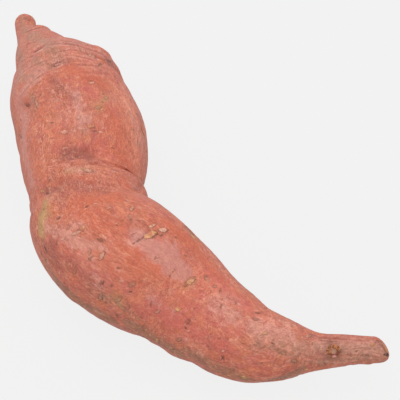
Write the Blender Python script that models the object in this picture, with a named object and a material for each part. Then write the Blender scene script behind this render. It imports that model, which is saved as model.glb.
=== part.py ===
"""A sweet potato: one swollen root, grown in one piece, lying on its side.

It lies along X, stem end at -X and root tip at +X, and rests on the plane Z = 0.
A place on the skin is named by its distance along the root from the stem end, in
millimetres, and by its angle around the root, in degrees: 0 is the top, 90 the +Y side.
"""
import math
import random

import bpy
import numpy as np

MM = 0.001

# Balls that the root just holds, from the stem end to the tip: X, Y, Z and radius in mm.
STATIONS = (
    (-107.7, 28.7, 27.6, 4.9),
    (-99.8, 24.8, 27.4, 4.9),
    (-90.4, 23.3, 27.2, 7.7),
    (-77.3, 20.9, 27.0, 13.0),
    (-64.9, 18.3, 26.7, 17.2),
    (-53.6, 14.9, 26.0, 22.0),
    (-43.2, 11.4, 25.3, 24.3),
    (-30.6, 7.4, 24.9, 24.9),
    (-20.6, 3.2, 24.7, 24.4),
    (-11.6, -2.6, 24.1, 23.4),
    (-1.8, -9.3, 23.3, 20.9),
    (11.1, -15.3, 22.3, 21.2),
    (20.5, -16.9, 21.8, 21.5),
    (29.3, -16.3, 22.0, 22.0),
    (37.4, -14.5, 21.4, 21.4),
    (44.2, -12.6, 20.2, 19.8),
    (51.6, -10.8, 19.2, 17.7),
    (62.3, -8.8, 18.2, 15.7),
    (71.4, -6.8, 17.4, 14.3),
    (79.4, -4.6, 16.6, 12.8),
    (85.9, 0.1, 15.9, 10.8),
    (91.4, 5.9, 15.4, 7.6),
    (96.4, 11.3, 15.1, 5.5),
    (100.4, 16.7, 14.8, 4.9),
    (103.9, 21.2, 14.5, 4.4),
    (108.2, 26.3, 14.2, 4.2),
)
# The crease at the waist: degrees around, distance along and depth in mm.
CREASE = (
    (-180, 119.0, 0.5),
    (-120, 120.0, 0.6),
    (-60, 123.0, 0.9),
    (-35, 124.5, 1.3),
    (-10, 123.0, 0.5),
    (20, 119.5, 0.7),
    (50, 117.5, 1.5),
    (90, 117.0, 2.4),
    (130, 118.0, 1.2),
    (180, 119.0, 0.5),
)
CREASE_HALF_WIDTH = 2.4
LIP_BEHIND_CREASE = 6.0
LIP_SHARE = 0.45
# Folds and swellings, each a line on the skin from one place to another:
# distance and degrees at its two ends, half width in mm, and height in mm (sunk below zero).
FOLDS = (
    (57.0, 56, 61.0, 90, 7.0, 2.9),
    (49.0, 22, 50.0, 36, 3.5, 0.6),
    (60.0, 46, 60.0, 56, 2.4, 1.3),
    (64.0, 27, 67.5, 40, 1.8, -0.8),
    (67.5, 40, 66.0, 78, 2.0, -1.3),
    (60.0, 20, 59.0, 44, 2.2, 0.5),
    (69.5, -58, 68.5, -22, 2.0, 0.6),
    (57.5, -100, 58.5, -34, 5.5, -1.4),
    (46.0, -88, 50.0, -58, 4.5, -1.2),
    (57.0, -24, 56.5, -8, 1.6, -0.6),
    (64.5, -4, 66.0, 8, 1.8, -0.5),
    (69.8, -12, 68.5, 2, 1.8, -0.7),
    (24.5, -30, 27.5, 4, 1.8, -0.6),
    (21.5, 20, 20.0, 95, 2.8, 1.8),
    (26.0, 60, 27.0, 120, 2.4, -0.6),
    (111.5, -18, 107.5, 17, 3.4, -1.1),
    (116.0, -17, 115.5, 16, 2.2, 0.6),
    (104.0, 118, 113.0, 92, 4.5, -0.9),
    (116.5, -80, 117.0, -64, 2.0, -0.6),
    (130.0, 58, 134.0, 70, 3.6, -0.9),
    (48.0, 110, 52.0, 190, 4.0, -0.7),
    (92.0, 150, 96.0, 215, 4.5, -0.6),
    (178.0, 120, 176.0, 165, 3.0, -0.5),
    (203.0, 70, 205.0, 140, 3.0, -0.5),
    (146.0, -95, 146.0, -95, 2.6, 0.6),
    (153.0, -98, 153.0, -98, 2.6, 0.6),
    (159.5, -94, 159.5, -94, 2.6, 0.6),
    (163.0, -130, 165.0, -112, 3.0, -0.7),
    (166.0, -93, 166.0, -93, 2.6, 0.4),
    (173.0, -91, 173.0, -91, 2.6, 0.3),
    (178.0, -118, 180.0, -106, 3.0, 0.4),
    (186.5, -122, 186.0, -100, 3.0, -0.4),
    (222.5, -30, 222.5, -30, 2.4, 0.6),
)
# The larger scars that rootlets left on the side seen best: distance and degrees.
SCARS = (
    (82.0, 17),
    (79.0, -46),
    (133.0, -36),
    (147.0, -37),
    (155.0, 5),
    (172.0, -7),
    (158.5, -44),
    (197.0, -79),
    (213.0, 0),
)
OTHER_SCARS = 22
OTHER_SCAR_REACH = (46.0, 206.0)
OTHER_SCAR_TURNS = (60.0, 260.0)
SCAR_HALF_LENGTH = 3.0
SCAR_HALF_WIDTH = 2.0
SCAR_DEPTH = 0.7
SCAR_SEED = 11

RUMPLE_WAVES = 14
RUMPLE_HEIGHT = 0.36
RUMPLE_LENGTHS = (20.0, 60.0)
RUMPLE_SEED = 5
FULL_RADIUS = 25.0

TIP_SLANT = 0.35
TIP_SLANT_TURN = -110.0
TIP_SLANT_START = 4.0
TIP_FLATNESS = 0.6
SETTLE = 0.4

RINGS = 101
CAP_RINGS = 4
SIDES = 54

SKIN_COLOUR = (0.571, 0.195, 0.136, 1.0)
SKIN_ROUGHNESS = 0.6


def cubic(knots, values, at):
    """Values and slopes, at some places, of the natural cubic spline through the knots."""
    step = np.diff(knots)
    rise = np.diff(values, axis=0) / step[:, None]
    count = len(knots)
    system = np.eye(count)
    bend = np.zeros((count, values.shape[1]))
    for i in range(1, count - 1):
        system[i, i - 1 : i + 2] = step[i - 1], 2 * (step[i - 1] + step[i]), step[i]
        bend[i] = 6 * (rise[i] - rise[i - 1])
    curve = np.linalg.solve(system, bend)
    i = np.clip(np.searchsorted(knots, at, side="right") - 1, 0, count - 2)
    h = step[i][:, None]
    left = (knots[i + 1] - at)[:, None]
    right = (at - knots[i])[:, None]
    value = (curve[i] * left**3 + curve[i + 1] * right**3) / (6 * h)
    value += (values[i] / h - curve[i] * h / 6) * left
    value += (values[i + 1] / h - curve[i + 1] * h / 6) * right
    slope = (curve[i + 1] * right**2 - curve[i] * left**2) / (2 * h)
    slope += (values[i + 1] - values[i]) / h - (curve[i + 1] - curve[i]) * h / 6
    return value, slope


def station_distances():
    """Each station's distance along the root, by the straight runs between stations."""
    places = np.array(STATIONS)[:, :3]
    runs = np.linalg.norm(np.diff(places, axis=0), axis=1)
    return np.concatenate([[0.0], np.cumsum(runs)])


def turned_from(around, angle):
    """Degrees from one angle to another, the short way."""
    return (around - angle + 180) % 360 - 180


def line_distance(along, around, radius, start, end):
    """Distance in mm, over the skin, from places to a line between two places."""
    x = along - start[0]
    y = np.radians(turned_from(around, start[1])) * radius
    line_x = end[0] - start[0]
    line_y = np.radians(end[1] - start[1]) * radius
    reach = np.maximum(line_x**2 + line_y**2, 1e-9)
    share = np.clip((x * line_x + y * line_y) / reach, 0, 1)
    return np.hypot(x - share * line_x, y - share * line_y)


def crease_relief(along, around):
    """The sunk line round the waist, and the lip that swells beside it."""
    turns, places, depths = np.array(CREASE).T
    angle = turned_from(around, 0)
    place = np.interp(angle, turns, places)
    depth = np.interp(angle, turns, depths)
    groove = np.exp(-(((along - place) / CREASE_HALF_WIDTH) ** 2))
    lip = np.exp(-(((along - place - LIP_BEHIND_CREASE) / LIP_BEHIND_CREASE) ** 2))
    return depth * (LIP_SHARE * lip - groove)


def fold_relief(along, around, radius):
    height = np.zeros(len(along))
    for start_along, start_turn, end_along, end_turn, half_width, rise in FOLDS:
        start = (start_along, start_turn)
        away = line_distance(along, around, radius, start, (end_along, end_turn))
        height += rise * np.exp(-((away / half_width) ** 2))
    return height


def all_scars():
    """The scars listed, and those of the other sides drawn at random from a fixed seed."""
    draw = random.Random(SCAR_SEED)
    others = [
        (draw.uniform(*OTHER_SCAR_REACH), draw.uniform(*OTHER_SCAR_TURNS))
        for _ in range(OTHER_SCARS)
    ]
    return list(SCARS) + others


def scar_relief(along, around, radius):
    height = np.zeros(len(along))
    for place, turn in all_scars():
        across = np.radians(turned_from(around, turn)) * radius / SCAR_HALF_LENGTH
        away = ((along - place) / SCAR_HALF_WIDTH) ** 2 + across**2
        height -= SCAR_DEPTH * np.exp(-away)
    return height


def rumple_relief(along, around, radius):
    """Broad unevenness of the whole skin, as a sum of waves from a fixed seed."""
    draw = random.Random(RUMPLE_SEED)
    height = np.zeros(len(along))
    for _ in range(RUMPLE_WAVES):
        turns = draw.randint(-4, 4)
        wave = draw.uniform(*RUMPLE_LENGTHS)
        phase = draw.uniform(0, 2 * math.pi)
        height += np.sin(2 * math.pi * along / wave + turns * np.radians(around) + phase)
    return height * RUMPLE_HEIGHT * math.sqrt(2 / RUMPLE_WAVES) * radius / FULL_RADIUS


def skin(along, around):
    """Points of the skin, in mm, for places given by distance and degrees."""
    knots = station_distances()
    length = knots[-1]
    inside = np.clip(along, 0, length)
    value, slope = cubic(knots, np.array(STATIONS), inside)
    radius = value[:, 3]
    speed = np.linalg.norm(slope[:, :3], axis=1)
    tangent = slope[:, :3] / speed[:, None]
    past = along - inside
    growth = np.where(past == 0, slope[:, 3] / speed, 0)
    girth = np.sqrt(np.maximum(radius**2 * (1 - growth**2) - past**2, 0))
    shift = np.where(past > 0, past * TIP_FLATNESS, past) - radius * growth
    slant = np.clip((along - length + TIP_SLANT_START) / TIP_SLANT_START, 0, 1)
    slant = slant * TIP_SLANT * np.cos(np.radians(around - TIP_SLANT_TURN))
    across = np.cross([0.0, 0.0, 1.0], tangent)
    across /= np.linalg.norm(across, axis=1)[:, None]
    lift = np.cross(tangent, across)
    relief = crease_relief(along, around)
    relief += fold_relief(along, around, radius)
    relief += scar_relief(along, around, radius)
    relief += rumple_relief(along, around, radius)
    girth *= 1 + relief / radius
    turn = np.radians(around)[:, None]
    outwards = np.cos(turn) * lift + np.sin(turn) * across
    points = value[:, :3] + tangent * (shift + slant * girth)[:, None]
    points += outwards * girth[:, None]
    points[:, 2] = np.maximum(points[:, 2] - SETTLE, 0)
    return points


def ring_distances():
    """Distances along of the rings of points, closer together round the two ends."""
    length = station_distances()[-1]
    start_radius, end_radius = STATIONS[0][3], STATIONS[-1][3]
    steps = np.linspace(0, math.pi / 2, CAP_RINGS + 1)[1:-1]
    start = -start_radius * np.sin(steps)[::-1]
    end = length + end_radius * np.sin(steps)
    return np.concatenate([start, np.linspace(0, length, RINGS), end])


def root_mesh():
    """The closed skin: rings of points joined by quads, and a fan of triangles at each end."""
    rings = ring_distances()
    degrees = np.arange(SIDES) * 360 / SIDES
    points = skin(np.repeat(rings, SIDES), np.tile(degrees, len(rings)))
    length = station_distances()[-1]
    ends = np.array([-STATIONS[0][3], length + STATIONS[-1][3]])
    points = np.concatenate([points, skin(ends, np.zeros(2))])
    start, end = len(points) - 2, len(points) - 1
    last = (len(rings) - 1) * SIDES
    faces = []
    for side in range(SIDES):
        after = (side + 1) % SIDES
        faces.append((start, side, after))
        faces.append((end, last + after, last + side))
        for first in range(0, last, SIDES):
            here = first + side
            beside = first + after
            faces.append((here, here + SIDES, beside + SIDES, beside))
    mesh = bpy.data.meshes.new("sweet_potato")
    mesh.from_pydata((points * MM).tolist(), [], faces)
    mesh.update()
    mesh.shade_smooth()
    return mesh


def skin_material():
    material = bpy.data.materials.new("potato_skin")
    material.use_nodes = True
    shader = material.node_tree.nodes["Principled BSDF"]
    shader.inputs["Base Color"].default_value = SKIN_COLOUR
    shader.inputs["Roughness"].default_value = SKIN_ROUGHNESS
    shader.inputs["Metallic"].default_value = 0.0
    return material


def main():
    for old in list(bpy.data.objects):
        bpy.data.objects.remove(old)
    root = bpy.data.objects.new("sweet_potato", root_mesh())
    root.data.materials.append(skin_material())
    bpy.context.scene.collection.objects.link(root)


if __name__ == "__main__":
    main()
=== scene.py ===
import math
import random

import bpy
import numpy as np
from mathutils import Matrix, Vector, noise
from mathutils.bvhtree import BVHTree


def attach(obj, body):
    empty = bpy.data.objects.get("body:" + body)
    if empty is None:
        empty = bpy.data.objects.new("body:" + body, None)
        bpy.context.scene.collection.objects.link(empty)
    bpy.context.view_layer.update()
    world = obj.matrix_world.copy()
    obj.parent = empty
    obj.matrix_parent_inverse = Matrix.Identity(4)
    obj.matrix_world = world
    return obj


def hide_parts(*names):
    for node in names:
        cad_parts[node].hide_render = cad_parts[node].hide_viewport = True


# A raw sweet potato lying on a pale table.
# Lengths are in millimetres until the mesh is made. A place on the skin is its distance along
# the root from the stem end and its angle round it: 0 is the top, 90 the side towards +Y.

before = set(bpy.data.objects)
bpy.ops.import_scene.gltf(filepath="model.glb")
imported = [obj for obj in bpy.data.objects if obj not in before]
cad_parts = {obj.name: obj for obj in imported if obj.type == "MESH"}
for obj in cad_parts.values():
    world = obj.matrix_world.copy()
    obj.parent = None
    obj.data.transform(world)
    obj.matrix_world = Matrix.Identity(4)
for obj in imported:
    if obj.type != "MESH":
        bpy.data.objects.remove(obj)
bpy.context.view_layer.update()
mm = 0.001


# Camera

cameraSetup = {
    "azimuth": 49.0,  # degrees, 0 looks along +Y
    "elevation": 48.0,  # degrees above the table
    "distance": 237.87,
    "aim": (25.9, 22.5, 18.75),
    "fieldOfView": 35.0,
    "photoSide": 400,  # pixels
}


def cameraAxes(setup):
    turn = math.radians(setup["azimuth"])
    rise = math.radians(setup["elevation"])
    back = Vector((math.sin(turn) * math.cos(rise), -math.cos(turn) * math.cos(rise), math.sin(rise)))
    right = Vector((0, 0, 1)).cross(back).normalized()
    return right, back.cross(right), back


def cameraPlace(setup):
    return Vector(setup["aim"]) + cameraAxes(setup)[2] * setup["distance"]


def makeCamera(setup):
    data = bpy.data.cameras.new("tableCamera")
    data.lens = data.sensor_width / 2 / math.tan(math.radians(setup["fieldOfView"]) / 2)
    camera = bpy.data.objects.new("tableCamera", data)
    camera.location = cameraPlace(setup) * mm
    camera.rotation_mode = "QUATERNION"
    camera.rotation_quaternion = cameraAxes(setup)[2].to_track_quat("Z", "Y")
    bpy.context.scene.collection.objects.link(camera)
    bpy.context.scene.camera = camera


# The direction in which a pixel of the photograph looks.
def pixelRay(setup, pixel):
    right, up, back = cameraAxes(setup)
    half = setup["photoSide"] / 2
    focal = half / math.tan(math.radians(setup["fieldOfView"]) / 2)
    return (right * ((pixel[0] - half) / focal) - up * ((pixel[1] - half) / focal) - back).normalized()


makeCamera(cameraSetup)
print("camera is in place")


# Shape of the root, the same as the solid's

rootShape = {
    # balls that the root just holds: x, y, z and radius
    "stations": (
        (-107.7, 28.7, 27.6, 4.9),
        (-99.8, 24.8, 27.4, 4.9),
        (-90.4, 23.3, 27.2, 7.7),
        (-77.3, 20.9, 27.0, 13.0),
        (-64.9, 18.3, 26.7, 17.2),
        (-53.6, 14.9, 26.0, 22.0),
        (-43.2, 11.4, 25.3, 24.3),
        (-30.6, 7.4, 24.9, 24.9),
        (-20.6, 3.2, 24.7, 24.4),
        (-11.6, -2.6, 24.1, 23.4),
        (-1.8, -9.3, 23.3, 20.9),
        (11.1, -15.3, 22.3, 21.2),
        (20.5, -16.9, 21.8, 21.5),
        (29.3, -16.3, 22.0, 22.0),
        (37.4, -14.5, 21.4, 21.4),
        (44.2, -12.6, 20.2, 19.8),
        (51.6, -10.8, 19.2, 17.7),
        (62.3, -8.8, 18.2, 15.7),
        (71.4, -6.8, 17.4, 14.3),
        (79.4, -4.6, 16.6, 12.8),
        (85.9, 0.1, 15.9, 10.8),
        (91.4, 5.9, 15.4, 7.6),
        (96.4, 11.3, 15.1, 5.5),
        (100.4, 16.7, 14.8, 4.9),
        (103.9, 21.2, 14.5, 4.4),
        (108.2, 26.3, 14.2, 4.2),
    ),
    # the crease at the waist: degrees round, distance along and depth
    "crease": (
        (-180, 119.0, 0.5),
        (-120, 120.0, 0.6),
        (-60, 123.0, 0.9),
        (-35, 124.5, 1.3),
        (-10, 123.0, 0.5),
        (20, 119.5, 0.7),
        (50, 117.5, 1.5),
        (90, 117.0, 2.4),
        (130, 118.0, 1.2),
        (180, 119.0, 0.5),
    ),
    "creaseHalfWidth": 2.4,
    "lipBehindCrease": 6.0,
    "lipShare": 0.45,
    # folds: distance and degrees at both ends, half width, rise
    "folds": (
        (57.0, 56, 61.0, 90, 7.0, 2.9),
        (49.0, 22, 50.0, 36, 3.5, 0.6),
        (60.0, 46, 60.0, 56, 2.4, 1.3),
        (64.0, 27, 67.5, 40, 1.8, -0.8),
        (67.5, 40, 66.0, 78, 2.0, -1.3),
        (60.0, 20, 59.0, 44, 2.2, 0.5),
        (69.5, -58, 68.5, -22, 2.0, 0.6),
        (57.5, -100, 58.5, -34, 5.5, -1.4),
        (46.0, -88, 50.0, -58, 4.5, -1.2),
        (57.0, -24, 56.5, -8, 1.6, -0.6),
        (64.5, -4, 66.0, 8, 1.8, -0.5),
        (69.8, -12, 68.5, 2, 1.8, -0.7),
        (24.5, -30, 27.5, 4, 1.8, -0.6),
        (21.5, 20, 20.0, 95, 2.8, 1.8),
        (26.0, 60, 27.0, 120, 2.4, -0.6),
        (111.5, -18, 107.5, 17, 3.4, -1.1),
        (116.0, -17, 115.5, 16, 2.2, 0.6),
        (104.0, 118, 113.0, 92, 4.5, -0.9),
        (116.5, -80, 117.0, -64, 2.0, -0.6),
        (130.0, 58, 134.0, 70, 3.6, -0.9),
        (48.0, 110, 52.0, 190, 4.0, -0.7),
        (92.0, 150, 96.0, 215, 4.5, -0.6),
        (178.0, 120, 176.0, 165, 3.0, -0.5),
        (203.0, 70, 205.0, 140, 3.0, -0.5),
        (146.0, -95, 146.0, -95, 2.6, 0.6),
        (153.0, -98, 153.0, -98, 2.6, 0.6),
        (159.5, -94, 159.5, -94, 2.6, 0.6),
        (163.0, -130, 165.0, -112, 3.0, -0.7),
        (166.0, -93, 166.0, -93, 2.6, 0.4),
        (173.0, -91, 173.0, -91, 2.6, 0.3),
        (178.0, -118, 180.0, -106, 3.0, 0.4),
        (186.5, -122, 186.0, -100, 3.0, -0.4),
        (222.5, -30, 222.5, -30, 2.4, 0.6),
    ),
    # dents of the larger rootlet scars: distance and degrees
    "scars": (
        (82.0, 17),
        (79.0, -46),
        (133.0, -36),
        (147.0, -37),
        (155.0, 5),
        (172.0, -7),
        (158.5, -44),
        (197.0, -79),
        (213.0, 0),
    ),
    "otherScars": 22,
    "otherScarReach": (46.0, 206.0),
    "otherScarTurns": (60.0, 260.0),
    "scarHalfLength": 3.0,
    "scarHalfWidth": 2.0,
    "scarDepth": 0.7,
    "scarSeed": 11,
    "rumpleWaves": 14,
    "rumpleTurns": (-4, 4),
    "rumpleHeight": 0.36,
    "rumpleLengths": (20.0, 60.0),
    "rumpleSeed": 5,
    "fullRadius": 25.0,
    "tipSlant": 0.35,
    "tipSlantTurn": -110.0,
    "tipSlantStart": 4.0,
    "tipFlatness": 0.6,
    "settle": 0.4,  # how far the root is lowered, so that it rests on flat spots
}


# Values and slopes, at some places, of the natural cubic spline through the knots.
def cubic(knots, values, at):
    step = np.diff(knots)
    rise = np.diff(values, axis=0) / step[:, None]
    count = len(knots)
    system = np.eye(count)
    bend = np.zeros((count, values.shape[1]))
    for i in range(1, count - 1):
        system[i, i - 1 : i + 2] = step[i - 1], 2 * (step[i - 1] + step[i]), step[i]
        bend[i] = 6 * (rise[i] - rise[i - 1])
    curve = np.linalg.solve(system, bend)
    i = np.clip(np.searchsorted(knots, at, side="right") - 1, 0, count - 2)
    h = step[i][:, None]
    left = (knots[i + 1] - at)[:, None]
    right = (at - knots[i])[:, None]
    value = (curve[i] * left**3 + curve[i + 1] * right**3) / (6 * h)
    value += (values[i] / h - curve[i] * h / 6) * left
    value += (values[i + 1] / h - curve[i + 1] * h / 6) * right
    slope = (curve[i + 1] * right**2 - curve[i] * left**2) / (2 * h)
    slope += (values[i + 1] - values[i]) / h - (curve[i + 1] - curve[i]) * h / 6
    return value, slope


def stationDistances(shape):
    runs = np.linalg.norm(np.diff(np.array(shape["stations"])[:, :3], axis=0), axis=1)
    return np.concatenate([[0.0], np.cumsum(runs)])


def turnedFrom(around, angle):
    return (around - angle + 180) % 360 - 180


def creaseRelief(shape, along, around):
    turns, places, depths = np.array(shape["crease"]).T
    angle = turnedFrom(around, 0)  # from -180 to 180
    place = np.interp(angle, turns, places)
    depth = np.interp(angle, turns, depths)
    lipPlace = shape["lipBehindCrease"]
    groove = np.exp(-(((along - place) / shape["creaseHalfWidth"]) ** 2))
    lip = np.exp(-(((along - place - lipPlace) / lipPlace) ** 2))
    return depth * (shape["lipShare"] * lip - groove)


def foldRelief(shape, along, around, radius):
    height = np.zeros(len(along))
    for startAlong, startTurn, endAlong, endTurn, halfWidth, rise in shape["folds"]:
        x = along - startAlong
        y = np.radians(turnedFrom(around, startTurn)) * radius
        lineX = endAlong - startAlong
        lineY = np.radians(endTurn - startTurn) * radius
        reach = np.maximum(lineX**2 + lineY**2, 1e-9)
        share = np.clip((x * lineX + y * lineY) / reach, 0, 1)
        away = np.hypot(x - share * lineX, y - share * lineY)
        height += rise * np.exp(-((away / halfWidth) ** 2))
    return height


# The scars of the sides that the photograph doesn't show are drawn from a fixed seed.
def hiddenScars(shape):
    draw = random.Random(shape["scarSeed"])
    return [
        (draw.uniform(*shape["otherScarReach"]), draw.uniform(*shape["otherScarTurns"]))
        for _ in range(shape["otherScars"])
    ]


def scarRelief(shape, along, around, radius):
    height = np.zeros(len(along))
    for place, turn in list(shape["scars"]) + hiddenScars(shape):
        across = np.radians(turnedFrom(around, turn)) * radius / shape["scarHalfLength"]
        height -= shape["scarDepth"] * np.exp(-(((along - place) / shape["scarHalfWidth"]) ** 2) - across**2)
    return height


def rumpleRelief(shape, along, around, radius):
    draw = random.Random(shape["rumpleSeed"])
    height = np.zeros(len(along))
    for _ in range(shape["rumpleWaves"]):
        turns = draw.randint(*shape["rumpleTurns"])
        wave = draw.uniform(*shape["rumpleLengths"])
        phase = draw.uniform(0, 2 * math.pi)
        height += np.sin(2 * math.pi * along / wave + turns * np.radians(around) + phase)
    height *= shape["rumpleHeight"] * math.sqrt(2 / shape["rumpleWaves"])
    return height * radius / shape["fullRadius"]


# Points of the skin for places along and around, raised by the finer relief given.
def skinPoints(shape, along, around, finer=0.0):
    knots = stationDistances(shape)
    length = knots[-1]
    inside = np.clip(along, 0, length)
    value, slope = cubic(knots, np.array(shape["stations"]), inside)
    radius = value[:, 3]
    speed = np.linalg.norm(slope[:, :3], axis=1)
    tangent = slope[:, :3] / speed[:, None]
    past = along - inside
    growth = np.where(past == 0, slope[:, 3] / speed, 0)
    girth = np.sqrt(np.maximum(radius**2 * (1 - growth**2) - past**2, 0))
    shift = np.where(past > 0, past * shape["tipFlatness"], past) - radius * growth
    slant = np.clip((along - length + shape["tipSlantStart"]) / shape["tipSlantStart"], 0, 1)
    slant = slant * shape["tipSlant"] * np.cos(np.radians(around - shape["tipSlantTurn"]))
    across = np.cross([0.0, 0.0, 1.0], tangent)
    across /= np.linalg.norm(across, axis=1)[:, None]
    lift = np.cross(tangent, across)
    relief = creaseRelief(shape, along, around)
    relief += foldRelief(shape, along, around, radius)
    relief += scarRelief(shape, along, around, radius)
    relief += rumpleRelief(shape, along, around, radius)
    girth *= 1 + (relief + finer) / radius
    turn = np.radians(around)[:, None]
    outwards = np.cos(turn) * lift + np.sin(turn) * across
    points = value[:, :3] + tangent * (shift + slant * girth)[:, None] + outwards * girth[:, None]
    points[:, 2] = np.maximum(points[:, 2] - shape["settle"], 0)
    return points


def localRadius(shape, along):
    knots = stationDistances(shape)
    inside = np.clip(np.atleast_1d(along).astype(float), 0, knots[-1])
    return cubic(knots, np.array(shape["stations"]), inside)[0][:, 3]


# Rings of places from end to end, with closer rings round the two ends.
def skinGrid(shape, rings, capRings, sides):
    length = stationDistances(shape)[-1]
    steps = np.linspace(0, math.pi / 2, capRings + 1)[1:-1]
    start = -shape["stations"][0][3] * np.sin(steps)[::-1]
    end = length + shape["stations"][-1][3] * np.sin(steps)
    places = np.concatenate([start, np.linspace(0, length, rings), end])
    degrees = np.arange(sides) * 360 / sides
    along = np.repeat(places, sides)
    around = np.tile(degrees, len(places))
    along = np.append(along, [-shape["stations"][0][3], length + shape["stations"][-1][3]])
    around = np.append(around, [0, 0])
    return along, around, len(places)


def gridFaces(ringCount, sides):
    start = ringCount * sides
    last = (ringCount - 1) * sides
    faces = []
    for side in range(sides):
        after = (side + 1) % sides
        faces.append((start, side, after))
        faces.append((start + 1, last + after, last + side))
    for first in range(0, last, sides):
        for side in range(sides):
            after = (side + 1) % sides
            faces.append((first + side, first + side + sides, first + after + sides, first + after))
    return faces


# Where pixels of the photograph meet the skin

castGrid = {"rings": 161, "capRings": 4, "sides": 96}


def makeCaster(shape, setup, grid):
    along, around, ringCount = skinGrid(shape, grid["rings"], grid["capRings"], grid["sides"])
    points = skinPoints(shape, along, around)
    triangles = []
    for face in gridFaces(ringCount, grid["sides"]):
        triangles.append(face[:3])
        if len(face) == 4:
            triangles.append((face[0], face[2], face[3]))
    tree = BVHTree.FromPolygons([tuple(p) for p in points], triangles)
    eye = cameraPlace(setup)

    def cast(pixel):
        hit, _, index, _ = tree.ray_cast(eye, pixelRay(setup, pixel))
        if hit is None:
            return None
        corners = np.array(triangles[index])
        system = np.vstack([points[corners].T, np.ones(3)])
        share = np.linalg.lstsq(system, np.append(np.array(hit), 1.0), rcond=None)[0]
        turn = np.radians(around[corners])
        angle = math.degrees(math.atan2(share @ np.sin(turn), share @ np.cos(turn)))
        return float(share @ along[corners]), angle

    return cast


castPixel = makeCaster(rootShape, cameraSetup, castGrid)
print("pixels can be set on the skin")


# Marks on the skin

# How each kind of mark looks: sRGB colours of its middle and its rim, how strongly the middle,
# the rim and the dull halo are laid on, and its rise (sunk below zero). A dark rim is partly painted
# shade, and the pale rim of a dark mark, pit or crack is partly a painted lit lip; both are heavier below.
markLooks = {
    "corky": {"core": (222, 168, 126), "edge": (122, 76, 56), "shares": (0.85, 0.9, 0.5), "rise": -0.25},
    "orangeEye": {"core": (236, 170, 120), "edge": (118, 74, 56), "shares": (0.95, 0.85, 0.5), "rise": -0.2},
    "pale": {"core": (228, 168, 144), "edge": (146, 86, 68), "shares": (0.75, 0.6, 0.25), "rise": 0.08},
    "yellow": {"core": (224, 174, 116), "edge": (150, 94, 66), "shares": (0.8, 0.55, 0.2), "rise": 0.12},
    "dark": {"core": (120, 70, 56), "edge": (218, 152, 128), "shares": (0.75, 0.45, 0.45), "rise": -0.2},
    "pit": {"core": (120, 74, 58), "edge": (210, 150, 124), "shares": (0.75, 0.4, 0.25), "rise": -0.15},
    "green": {"core": (186, 140, 110), "edge": (120, 80, 60), "shares": (0.65, 0.65, 0.5), "rise": -0.1},
    "grey": {"core": (212, 158, 132), "edge": (116, 76, 60), "shares": (0.7, 0.8, 0.5), "rise": -0.1},
    "blush": {"core": (226, 170, 146), "edge": (112, 76, 58), "shares": (0.85, 0.8, 0.4), "rise": -0.15},
    "crust": {"core": (150, 92, 68), "edge": (112, 62, 46), "shares": (0.6, 0.6, 0.5), "rise": 0.1},
    "crack": {"core": (148, 88, 72), "edge": (222, 156, 136), "shares": (0.65, 0.35, 0.15), "rise": -0.15},
    "lightLine": {"core": (228, 168, 146), "edge": (176, 104, 84), "shares": (0.6, 0.3, 0.0), "rise": 0.06},
    "red": {"core": (172, 82, 68), "edge": (196, 112, 92), "shares": (0.6, 0.3, 0.3), "rise": -0.05},
    "gold": {"core": (198, 138, 72), "edge": (128, 74, 46), "shares": (0.85, 0.6, 0.3), "rise": 0.15},
    "black": {"core": (62, 44, 36), "edge": (150, 100, 72), "shares": (0.9, 0.5, 0.3), "rise": -0.1},
}

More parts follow.
